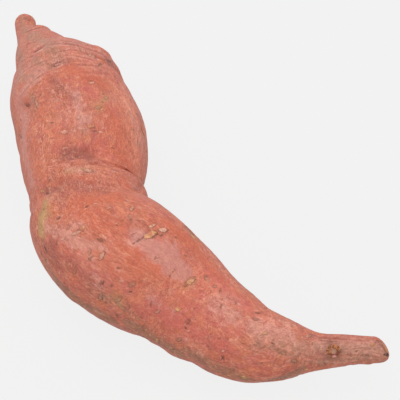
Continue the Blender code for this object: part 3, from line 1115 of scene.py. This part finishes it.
skinMesh = {
    "rings": 497,
    "capRings": 7,
    "sides": 196,
    # unevenness: size along and round the root, height, and a shift so that none looks like another
    "noises": {
        "lumps": ((7.0, 7.0, 7.0), 0.22, 0.0),
        "ripples": ((1.5, 7.0, 7.0), 0.06, 50.0),
        "grain": ((1.6, 1.6, 1.6), 0.07, -50.0),
        "wander": ((3.0, 3.0, 3.0), 0.5, 20.0),  # how far the furrows stray
    },
    "evenRadius": 12.0,  # unevenness is lower where the root is thinner than this
    "leastShare": 0.4,
    "markLayers": 6,
    "markReach": 0.4,  # mm beyond a mark's edge that still carry its values
    "widestRim": 0.6,
    "markFade": 1.05,  # steps of the mesh
    "rimDrop": 0.35,  # share of a mark's rise by which its rim goes the other way
    "rimPlace": 1.5,
    "rimWidth": 0.5,
    "farPlace": 9.0,
}


def unevenness(points, size, height, shift):
    places = (points + shift) / np.array(size)
    return np.array([noise.noise(Vector(p)) for p in places]) * height


def emptyLayer(count):
    far = skinMesh["farPlace"]
    return {
        "taken": np.zeros(count, bool),
        "place": np.tile([far, far, 0.0], (count, 1)),
        "core": np.zeros((count, 4)),
        "edge": np.zeros((count, 4)),
        "shares": np.zeros((count, 3)),
    }


# Each mark goes to the first layer where no other mark's values reach.
def markFields(marks, along, around, radius):
    layers = [emptyLayer(len(along)) for _ in range(skinMesh["markLayers"])]
    ringStep = stationDistances(rootShape)[-1] / skinMesh["rings"]
    relief = np.zeros(len(along))
    dropped = 0
    for mark in marks:
        look = markLooks[mark["look"]]
        halfLength, halfWidth = (math.hypot(*axis) for axis in mark["axes"])
        a, b = placeLocal(along, around, radius, mark)
        away = np.hypot(np.maximum(np.abs(a) - 1, 0) * halfLength, np.maximum(np.abs(b) - 1, 0) * halfWidth)
        turnStep = 2 * math.pi * float(localRadius(rootShape, mark["along"])[0]) / skinMesh["sides"]
        fade = skinMesh["markFade"] * max(turnStep, ringStep)
        reach = min(halfWidth, skinMesh["widestRim"]) + skinMesh["markReach"]
        here = away < reach + 2 * fade
        if not here.any():
            continue
        layer = next((x for x in layers if not x["taken"][here].any()), None)
        if layer is None:
            dropped += 1
            continue
        layer["taken"] |= here
        near = np.clip((reach + fade - away[here]) / fade, 0, 1)
        layer["place"][here] = np.stack([a[here], b[here], near], axis=1)
        layer["core"][here] = paint(look["core"])
        layer["edge"][here] = paint(look["edge"])
        layer["shares"][here] = look["shares"]
        q = np.hypot(a, b)
        rim = np.exp(-(((q - skinMesh["rimPlace"]) / skinMesh["rimWidth"]) ** 2))
        relief += look["rise"] * (np.exp(-(q**2)) - skinMesh["rimDrop"] * rim)
    print("marks:", len(marks), "dropped:", dropped)
    return layers, relief


# sRGB values from 0 to 255 as a linear colour
def paint(colour):
    def linear(value):
        share = value / 255
        return share / 12.92 if share <= 0.04045 else ((share + 0.055) / 1.055) ** 2.4

    return tuple(linear(c) for c in colour) + (1.0,)


def addAttribute(mesh, name, kind, values):
    attribute = mesh.attributes.new(name, kind, "POINT")
    field = {"FLOAT": "value", "FLOAT_VECTOR": "vector", "FLOAT_COLOR": "color"}[kind]
    attribute.data.foreach_set(field, np.asarray(values, np.float32).ravel())


def makeSkin(setup):
    along, around, ringCount = skinGrid(rootShape, setup["rings"], setup["capRings"], setup["sides"])
    radius = localRadius(rootShape, along)
    turn = np.radians(around)
    straight = np.stack([along, radius * np.sin(turn), radius * np.cos(turn)], axis=1)
    layers, markRelief = markFields(photoMarkList() + hiddenMarkList(hiddenMarks), along, around, radius)
    noises = {name: unevenness(straight, *row) for name, row in setup["noises"].items()}
    furrows = furrowList(hiddenFurrows)
    wander = noises["wander"]
    furrowShade, crestHighlight, furrowRelief = furrowFields(furrowShape, furrows, along, around, radius, wander)
    ringPlace, ringHeight = ringFields(tailRing, along, around, radius)
    share = np.clip(radius / setup["evenRadius"], setup["leastShare"], 1)
    finer = (noises["lumps"] + noises["ripples"] + noises["grain"]) * share + markRelief + furrowRelief
    finer += dentRelief(along, around, radius) + ringHeight
    points = skinPoints(rootShape, along, around, finer)
    points = (points + trimShift(rootShape, tailTrim, along, around, radius)) * mm
    mesh = bpy.data.meshes.new("sweet_potato_skin")
    mesh.from_pydata(points.tolist(), [], gridFaces(ringCount, setup["sides"]))
    mesh.update()
    mesh.shade_smooth()
    addAttribute(mesh, "straight", "FLOAT_VECTOR", straight)
    addAttribute(mesh, "tailRing", "FLOAT_VECTOR", ringPlace)
    addAttribute(mesh, "furrowShade", "FLOAT", furrowShade)
    addAttribute(mesh, "crestHighlight", "FLOAT", crestHighlight)
    for name in tintPatches:
        addAttribute(mesh, name, "FLOAT", tintField(hiddenTints, name, along, around, radius))
    for number, layer in enumerate(layers):
        addAttribute(mesh, f"markPlace{number}", "FLOAT_VECTOR", layer["place"])
        addAttribute(mesh, f"markShares{number}", "FLOAT_VECTOR", layer["shares"])
        addAttribute(mesh, f"markCore{number}", "FLOAT_COLOR", layer["core"])
        addAttribute(mesh, f"markEdge{number}", "FLOAT_COLOR", layer["edge"])
    skin = bpy.data.objects.new("sweet_potato_skin", mesh)
    bpy.context.scene.collection.objects.link(skin)
    return skin


# The skin's material. "straight" is the root unbent, so patterns have no seam and follow its length.

skinFinish = {
    "colours": {  # sRGB
        "orange": (209, 119, 90),
        "red": (200, 106, 85),
        "salmon": (216, 141, 118),
        "rust": (182, 100, 78),
        "warmTone": (216, 122, 88),
        "coolTone": (202, 109, 97),
        "glow": (208, 105, 76),
        "rose": (207, 102, 92),
        # amber: light patches of the skin, and painted light on the right edges of the bulb and the waist
        "amber": (230, 142, 114),
        # chalk: pale patches, painted light on the bulb's right edge, and the painted highlight of furrow
        # crests
        "chalk": (221, 154, 138),
        # mauve: mauve-grey patches, and a painted sheen along the edges of the thicker bulb
        "mauve": (208, 140, 128),
        "moss": (176, 128, 106),
        "olive": (156, 112, 88),
        # dusk: the colour of painted shade in hollows, creases and furrows, and of dark patches of the skin
        "dusk": (150, 82, 72),
        "stain": (196, 156, 102),
        "speck": (136, 88, 70),
        "lightLine": (230, 168, 142),
        "darkLine": (168, 86, 70),
        "ringGold": (196, 118, 64),
        "ringBrown": (108, 60, 40),
        "ringRed": (132, 66, 50),
        "ringPale": (190, 148, 118),
        "ringPink": (224, 160, 148),
    },
    # noises: what they lie on, their stretch, size in mm, detail, roughness and distortion
    "noises": {
        "big": ("straight", (1.0, 1.0, 1.0), 9.0, 3.0, 0.5, 0.0),
        "middle": ("warped", (1.0, 1.0, 1.0), 3.0, 4.0, 0.6, 0.0),
        "other": ("warped", (-1.0, 1.0, 1.0), 4.5, 4.0, 0.65, 0.0),
        "tone": ("warped", (1.0, -1.0, 1.0), 2.2, 2.0, 0.5, 0.0),
        "mottle": ("warped", (1.0, 1.0, 1.0), 1.6, 2.0, 0.5, 0.0),
        "streaks": ("warped", (0.35, 1.0, 1.0), 1.1, 3.0, 0.6, 0.0),
        "threads": ("warped", (0.38, 1.0, 1.0), 0.5, 2.0, 0.5, 0.0),
        "net": ("warped", (0.5, 1.0, 1.0), 1.2, 2.0, 0.5, 0.4),
        "grain": ("straight", (1.0, 1.0, 1.0), 0.45, 2.0, 0.5, 0.0),
        "flaky": ("straight", (1.0, 1.0, 1.0), 0.6, 2.0, 0.5, 0.0),
    },
    "warpSize": 3.0,
    "warp": 3.0,
    # shades on the orange: colour, noise, where it starts and where it is full, share
    "shades": (
        ("red", "big", 0.38, 0.62, 1.0),
        ("salmon", "middle", 0.48, 0.68, 0.75),
        ("rust", "other", 0.5, 0.7, 0.75),
        ("warmTone", "tone", 0.5, 0.62, 0.5),
        ("coolTone", "tone", 0.5, 0.38, 0.5),
    ),
    # tints in the order they are laid on: strength, how crisp the edge is, what breaks them up
    "tints": (
        ("glow", 0.75, 0.6, "middle"),
        ("rose", 0.7, 0.6, "other"),
        ("amber", 0.8, 0.3, "brokenMiddle"),
        ("chalk", 0.8, 0.5, "brokenMiddle"),
        ("mauve", 0.8, 0.65, "middle"),
        ("moss", 0.75, 0.4, "brokenOther"),
        ("olive", 0.75, 0.6, "brokenOther"),
        ("dusk", 0.75, 0.35, "brokenMiddle"),
        ("stain", 0.85, 0.35, "brokenOther"),
    ),
    "tintBreak": 1.5,
    "tintEdge": (0.34, 0.62),
    "smoothTints": ("mauve", "glow", "rose"),
    "smoothing": 0.5,
    "threadsNetted": 0.35,  # share more where the tint "netted" lies
    "threadsPatchy": (0.4, 0.6, 0.2),
    "threadClumps": (0.38, 0.6, 0.7, 0.45),
    "paleThreads": (0.49, 0.65, 0.24),  # starts, is full, least share
    "deepThreads": (0.51, 0.36, 0.3),
    "netLines": (0.03, 0.0, 0.05),
    "wobbleSize": 0.7,
    "dashSize": 2.7,
    "dashStretch": (1.0, 0.5, 0.5),
    "dashRagged": 0.35,
    "dashEdge": (0.18, 0.081),
    "darkDash": (0.5, 0.6, 0.7),  # chance from and to, share
    "lightDash": (0.35, 0.25, 0.45),
    # how the painted shade of furrows and the painted highlight of crests break up: noise from and to, rise
    # and least share
    "furrowShade": (0.4, 0.6, 0.5, 0.36),
    "crestHighlight": (0.4, 0.6, 0.6, 0.3),
    "mottling": 0.6,
    "roughness": (0.25, 0.45),  # change with the noise, least
    "specular": 0.3,
    "sheen": 0.09,
    "sheenRoughness": 0.4,
    "sheenTint": (0.75, 0.88, 1.0, 1.0),
    "bumpDepth": 0.0003,
    "bumpStrength": 0.4,
    # what raises or lowers the bump
    "heights": {
        "fine": 1.1,
        "grain": 0.35,
        "netLines": 0.3,
        "middle": 0.8,
        "darkDash": -0.5,
        "markCore": 0.3,
        "markRim": -0.7,
        "flakes": -1.0,
    },
}

# The ring's parts. Pairs say where a part starts and where it is full, in half heights from its
# middle, or down from it.
ringFinish = {
    "wobble": 0.5,
    "seen": (0.4, 0.8),
    "reach": (4.0, 2.4),
    "halo": (1.9, 1.0),
    "haloShare": 0.22,
    "bandInside": (0.3, 0.5),
    "bandOutside": (1.15, 0.88),
    "flakes": (0.44, 0.56),
    "upper": (0.45, 0.05),
    "gold": (0.5, 0.4),  # share more on the upper part, share everywhere
    "brown": (0.3, 0.55),
    "arcsInside": (0.3, 0.45),
    "arcsOutside": (0.85, 0.65),
    "arcsBelow": (0.0, 0.25),
    "arcsShare": 0.95,
    "pale": (0.38, 0.16),
    "paleShare": 0.65,
    "pinkAcross": 0.1,
    "pinkDown": 1.3,
    "pinkFlatness": 1.9,
    "pink": (0.44, 0.2),
    "pinkShare": 0.85,
}

# Every mark's parts, in its own measure.
markFinish = {
    "wobble": (0.9, 1.5),  # along and across
    "endWeight": 0.85,
    "sideWeight": 0.6,
    "halo": (2.6, 0.9),
    "haloDark": 0.3,
    "rimInside": (0.65, 0.9),
    "rimOutside": (1.6, 1.1),
    # the rim's painted shade and painted light are heavier on the lower side
    "rimShadingBelow": (-0.9, 0.9, 0.85, 0.15),
    "rimBroken": (0.36, 0.58, 0.8, 0.35),
    "core": (1.1, 0.65),
    "coreBroken": (0.38, 0.6, 0.75, 0.35),
}


def addNode(tree, kind, inputs=None, **settings):
    made = tree.nodes.new(kind)
    for name, value in settings.items():
        setattr(made, name, value)
    for socket, value in (inputs or {}).items():
        if isinstance(value, bpy.types.NodeSocket):
            tree.links.new(value, made.inputs[socket])
        else:
            made.inputs[socket].default_value = value
    return made


def calc(tree, operation, *values, clamp=False):
    made = addNode(tree, "ShaderNodeMath", dict(enumerate(values)), operation=operation, use_clamp=clamp)
    return made.outputs[0]


def times(tree, *values):
    product = values[0]
    for value in values[1:]:
        product = calc(tree, "MULTIPLY", product, value)
    return product


def timesPlus(tree, value, factor, offset):
    return calc(tree, "MULTIPLY_ADD", value, factor, offset)


def centre(tree, value):
    return calc(tree, "SUBTRACT", value, 0.5)


def lengthOf(tree, x, y):
    return calc(tree, "SQRT", timesPlus(tree, x, x, times(tree, y, y)))


# A share from 0 to 1 that rises smoothly as the value goes from low to high, or falls if low > high.
def between(tree, value, low, high):
    inputs = {"Value": value, "From Min": low, "From Max": high}
    return addNode(tree, "ShaderNodeMapRange", inputs, interpolation_type="SMOOTHSTEP").outputs[0]


# The same share as a factor: by how much it rises, and its least value.
def betweenFactor(tree, value, low, high, rise, least):
    return timesPlus(tree, between(tree, value, low, high), rise, least)


def vectorCalc(tree, operation, first, second):
    return addNode(tree, "ShaderNodeVectorMath", {0: first, 1: second}, operation=operation).outputs[0]


def centred(tree, colour):
    return vectorCalc(tree, "SUBTRACT", colour, (0.5, 0.5, 0.5))


def apart(tree, vector):
    return addNode(tree, "ShaderNodeSeparateXYZ", {0: vector}).outputs


def shaded(tree, colour, factor):
    return addNode(tree, "ShaderNodeVectorMath", {0: colour, "Scale": factor}, operation="SCALE").outputs[0]


def blend(tree, share, first, second):
    return addNode(tree, "ShaderNodeMix", {0: share, 6: first, 7: second}, data_type="RGBA").outputs[2]


def readAttribute(tree, name):
    return addNode(tree, "ShaderNodeAttribute", attribute_name=name).outputs


def shapeNoise(tree, vector, size, detail=2.0, roughness=0.5, distortion=0.0):
    inputs = {
        "Vector": vector,
        "Scale": 1 / size,
        "Detail": detail,
        "Roughness": roughness,
        "Distortion": distortion,
    }
    return addNode(tree, "ShaderNodeTexNoise", inputs).outputs


def skinNoises(tree, finish, straight):
    drift = centred(tree, shapeNoise(tree, straight, finish["warpSize"])["Color"])
    drift = vectorCalc(tree, "MULTIPLY", drift, (finish["warp"],) * 3)
    places = {"straight": straight, "warped": vectorCalc(tree, "ADD", straight, drift)}
    noises = {}
    for name, (place, stretch, *settings) in finish["noises"].items():
        stretched = vectorCalc(tree, "MULTIPLY", places[place], stretch)
        noises[name] = shapeNoise(tree, stretched, *settings)[0]
    half = times(tree, noises["middle"], 0.5)
    noises["brokenMiddle"] = timesPlus(tree, noises["mottle"], 0.5, half)
    half = timesPlus(tree, noises["other"], 0.5, 0.5)
    noises["brokenOther"] = timesPlus(tree, noises["mottle"], -0.5, half)
    return noises, places["warped"]


# Adds a colour of the finish over what is there.
def lay(tree, colour, share, name):
    return blend(tree, share, colour, paint(skinFinish["colours"][name]))


def tinted(tree, finish, colour, noises):
    for name, noiseName, low, high, share in finish["shades"]:
        colour = lay(tree, colour, times(tree, between(tree, noises[noiseName], low, high), share), name)
    for name, strength, crisp, breaker in finish["tints"]:
        field = readAttribute(tree, name)["Fac"]
        broken = timesPlus(tree, centre(tree, noises[breaker]), finish["tintBreak"], field)
        edged = times(tree, between(tree, broken, *finish["tintEdge"]), crisp)
        soft = times(tree, field, noises[breaker], 2 * (1 - crisp))
        amount = calc(tree, "MULTIPLY", calc(tree, "ADD", edged, soft), strength, clamp=True)
        colour = lay(tree, colour, amount, name)
    return colour


# Pale and deep threads and the lines of the net, each with its share.
def threadShares(tree, finish, noises, calm):
    fine = timesPlus(tree, noises["threads"], 0.5, times(tree, noises["streaks"], 0.5))
    low, high, share = finish["threadsPatchy"]
    thready = times(tree, between(tree, noises["other"], low, high), share)
    thready = timesPlus(tree, readAttribute(tree, "netted")["Fac"], finish["threadsNetted"], thready)

    def lines(value, name):
        low, high, least = finish[name]
        return times(tree, between(tree, value, low, high), calc(tree, "ADD", thready, least))

    clumps = betweenFactor(tree, noises["mottle"], *finish["threadClumps"])
    pale = times(tree, lines(fine, "paleThreads"), clumps, calm)
    deep = times(tree, lines(fine, "deepThreads"), calm)
    crossing = calc(tree, "ABSOLUTE", centre(tree, noises["net"]))
    return fine, pale, deep, lines(crossing, "netLines")


# Small dashes across the root, dark or light, in some of the cells.
def dashShares(tree, finish, warped, wobble):
    place = vectorCalc(tree, "MULTIPLY", warped, finish["dashStretch"])
    cells = addNode(tree, "ShaderNodeTexVoronoi", {"Vector": place, "Scale": 1 / finish["dashSize"]}).outputs
    chance = apart(tree, cells["Color"])[0]
    ragged = timesPlus(tree, wobble[2], finish["dashRagged"], cells["Distance"])
    dash = between(tree, ragged, *finish["dashEdge"])
    shares = []
    for name in ("darkDash", "lightDash"):
        low, high, share = finish[name]
        shares.append(times(tree, dash, between(tree, chance, low, high), share))
    return shares


# The ring on the tail: gold and brown flakes round a pale middle, red arcs below, and a pink spot.
def ringLayer(tree, finish, colour, wobble, ragged):
    a, b, near = apart(tree, readAttribute(tree, "tailRing")["Vector"])
    a = timesPlus(tree, wobble[0], finish["wobble"], a)
    b = timesPlus(tree, wobble[1], finish["wobble"], b)
    reach = lengthOf(tree, a, b)

    def part(name, value=reach):
        return between(tree, value, *finish[name])

    near = times(tree, part("seen", near), part("reach"))
    band = times(tree, part("bandInside"), part("bandOutside"), near)
    flakes = part("flakes", ragged)
    upper = part("upper", b)
    gold = times(tree, band, flakes, timesPlus(tree, upper, *finish["gold"]))
    brown = times(tree, band, calc(tree, "SUBTRACT", 1.0, flakes), timesPlus(tree, upper, *finish["brown"]))
    arcs = times(tree, part("arcsInside"), part("arcsOutside"), part("arcsBelow", b), near)
    arcs = times(tree, arcs, finish["arcsShare"])
    pale = times(tree, part("pale"), near, finish["paleShare"])
    pinkA = calc(tree, "SUBTRACT", a, finish["pinkAcross"])
    pinkB = timesPlus(tree, b, finish["pinkFlatness"], -finish["pinkDown"])
    pink = times(tree, part("pink", lengthOf(tree, pinkA, pinkB)), near, finish["pinkShare"])
    halo = times(tree, part("halo"), near, finish["haloShare"])
    colour = shaded(tree, colour, calc(tree, "SUBTRACT", 1.0, halo))
    steps = {"ringBrown": brown, "ringGold": gold, "ringRed": arcs, "ringPale": pale, "ringPink": pink}
    for name, share in steps.items():
        colour = lay(tree, colour, share, name)
    return colour, brown


# One layer of marks: each is a pointed lens with a broken rim, heavier below, and a dull halo.
# The rim is partly painted shade on dark rims and painted light on pale lips.
def markLayer(tree, finish, number, colour, wobble, ragged, lines):
    a, b, near = apart(tree, readAttribute(tree, f"markPlace{number}")["Vector"])
    coreShare, rimShare, haloShare = apart(tree, readAttribute(tree, f"markShares{number}")["Vector"])
    core = readAttribute(tree, f"markCore{number}")["Color"]
    edge = readAttribute(tree, f"markEdge{number}")["Color"]
    a = timesPlus(tree, wobble[0], finish["wobble"][0], a)
    b = timesPlus(tree, wobble[1], finish["wobble"][1], b)
    across = lengthOf(tree, b, times(tree, b, b, finish["sideWeight"]))
    lens = timesPlus(tree, times(tree, a, a), finish["endWeight"], across)
    halo = times(tree, between(tree, lens, *finish["halo"]), haloShare, near)
    rim = times(tree, between(tree, lens, *finish["rimInside"]), between(tree, lens, *finish["rimOutside"]))
    # painted shade on dark rims and painted light on pale lips, heavier on the lower side
    rim = times(tree, rim, rimShare, near, betweenFactor(tree, b, *finish["rimShadingBelow"]))
    rim = times(tree, rim, betweenFactor(tree, ragged, *finish["rimBroken"]))
    middle = times(tree, between(tree, lens, *finish["core"]), coreShare, near)
    middle = times(tree, middle, betweenFactor(tree, lines, *finish["coreBroken"]))
    colour = shaded(tree, colour, timesPlus(tree, halo, -finish["haloDark"], 1.0))
    return blend(tree, middle, blend(tree, rim, colour, edge), core), middle, rim


def makeSkinMaterial(finish):
    material = bpy.data.materials.new("potato_skin")
    material.use_nodes = True
    tree = material.node_tree
    straight = readAttribute(tree, "straight")["Vector"]
    noises, warped = skinNoises(tree, finish, straight)
    smooth = 0.0
    for name in finish["smoothTints"]:
        smooth = calc(tree, "MAXIMUM", smooth, readAttribute(tree, name)["Fac"])
    calm = timesPlus(tree, smooth, -finish["smoothing"], 1.0)
    colour = tinted(tree, finish, paint(finish["colours"]["orange"]), noises)

    fine, pale, deep, netLines = threadShares(tree, finish, noises, calm)
    wobble = apart(tree, centred(tree, shapeNoise(tree, straight, finish["wobbleSize"])["Color"]))
    darkDash, lightDash = dashShares(tree, finish, warped, wobble)
    # painted shade in the furrows (dusk) and a painted highlight on the crests beside them (chalk)
    furrowShade = betweenFactor(tree, noises["streaks"], *finish["furrowShade"])
    furrowShade = times(tree, readAttribute(tree, "furrowShade")["Fac"], furrowShade)
    crestHighlight = betweenFactor(tree, noises["threads"], *finish["crestHighlight"])
    crestHighlight = times(tree, readAttribute(tree, "crestHighlight")["Fac"], crestHighlight)
    layers = (
        (deep, "darkLine"),
        (pale, "lightLine"),
        (netLines, "lightLine"),
        (darkDash, "speck"),
        (lightDash, "lightLine"),
        (furrowShade, "dusk"),
        (crestHighlight, "chalk"),
    )
    for share, name in layers:
        colour = lay(tree, colour, share, name)

    heights = finish["heights"]
    height = times(tree, fine, heights["fine"])
    height = timesPlus(tree, noises["grain"], heights["grain"], height)
    height = timesPlus(tree, netLines, heights["netLines"], height)
    height = timesPlus(tree, noises["middle"], heights["middle"], height)
    height = timesPlus(tree, darkDash, heights["darkDash"], height)
    for number in range(skinMesh["markLayers"]):
        marked = markLayer(tree, markFinish, number, colour, wobble, noises["grain"], noises["streaks"])
        colour, core, rim = marked
        height = timesPlus(tree, core, heights["markCore"], height)
        height = timesPlus(tree, rim, heights["markRim"], height)
    colour, flakes = ringLayer(tree, ringFinish, colour, wobble, noises["flaky"])
    height = timesPlus(tree, flakes, heights["flakes"], height)
    uneven = centre(tree, noises["grain"])
    uneven = timesPlus(tree, centre(tree, noises["mottle"]), finish["mottling"], uneven)
    colour = shaded(tree, colour, timesPlus(tree, uneven, calm, 1.0))
    bump = {"Strength": finish["bumpStrength"], "Distance": finish["bumpDepth"], "Height": height}

    shader = tree.nodes["Principled BSDF"]
    tree.links.new(colour, shader.inputs["Base Color"])
    tree.links.new(timesPlus(tree, noises["middle"], *finish["roughness"]), shader.inputs["Roughness"])
    tree.links.new(addNode(tree, "ShaderNodeBump", bump).outputs[0], shader.inputs["Normal"])
    shader.inputs["Specular IOR Level"].default_value = finish["specular"]
    shader.inputs["Sheen Weight"].default_value = finish["sheen"]
    shader.inputs["Sheen Roughness"].default_value = finish["sheenRoughness"]
    shader.inputs["Sheen Tint"].default_value = finish["sheenTint"]
    return material


skin = makeSkin(skinMesh)
skin.data.materials.append(makeSkinMaterial(skinFinish))
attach(skin, "root")
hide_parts("sweet_potato")
print("skin is made:", len(skin.data.polygons), "faces")


# Table and light

studio = {
    "floorSide": 3000.0,
    "floorColour": (242, 242, 242),
    "floorShadowShare": 0.05,
    "skyTop": 0.94,  # strengths overhead, at the horizon and below it
    "skyLevel": 0.76,
    "skyBottom": 0.44,
    "skyDarkest": 0.6,  # how far below the horizon the sky is darkest, 1 is straight down
    "keyPower": 0.31,
    "keySize": 350.0,
    "keyPlace": (-45.0, 0.0, 420.0),
}


def makeFloor(setup):
    half = setup["floorSide"] / 2 * mm
    mesh = bpy.data.meshes.new("table")
    corners = [(-half, -half, 0), (half, -half, 0), (half, half, 0), (-half, half, 0)]
    mesh.from_pydata(corners, [], [(0, 1, 2, 3)])
    floor = bpy.data.objects.new("table", mesh)
    bpy.context.scene.collection.objects.link(floor)
    material = bpy.data.materials.new("tableTop")
    material.use_nodes = True
    tree = material.node_tree
    shader = tree.nodes["Principled BSDF"]
    level = paint(setup["floorColour"])[0]
    share = setup["floorShadowShare"]
    shader.inputs["Base Color"].default_value = (share, share, share, 1)
    shader.inputs["Roughness"].default_value = 1.0
    shader.inputs["Specular IOR Level"].default_value = 0.0
    shader.inputs["Emission Color"].default_value = (1, 1, 1, 1)
    shader.inputs["Emission Strength"].default_value = level - share
    mesh.materials.append(material)
    floor.visible_diffuse = False
    floor.visible_glossy = False


def makeLight(setup):
    world = bpy.data.worlds.new("studio")
    world.use_nodes = True
    tree = world.node_tree
    background = tree.nodes["Background"]
    background.inputs["Color"].default_value = (1, 1, 1, 1)
    direction = addNode(tree, "ShaderNodeTexCoord").outputs["Generated"]
    up = apart(tree, direction)[2]
    level = setup["skyLevel"]
    above = betweenFactor(tree, up, 0.0, 1.0, setup["skyTop"] - level, level)
    below = times(tree, between(tree, up, 0.0, -setup["skyDarkest"]), setup["skyBottom"] - level)
    tree.links.new(calc(tree, "ADD", above, below), background.inputs["Strength"])
    bpy.context.scene.world = world
    light = bpy.data.lights.new("key", "AREA")
    light.size = setup["keySize"] * mm
    light.energy = setup["keyPower"]
    lamp = bpy.data.objects.new("key", light)
    lamp.location = Vector(setup["keyPlace"]) * mm
    lamp.rotation_mode = "QUATERNION"
    lamp.rotation_quaternion = Vector(setup["keyPlace"]).to_track_quat("Z", "Y")
    bpy.context.scene.collection.objects.link(lamp)


makeFloor(studio)
makeLight(studio)
bpy.context.scene.view_settings.view_transform = "Standard"
print("table and light are set")

bpy.context.view_layer.update()
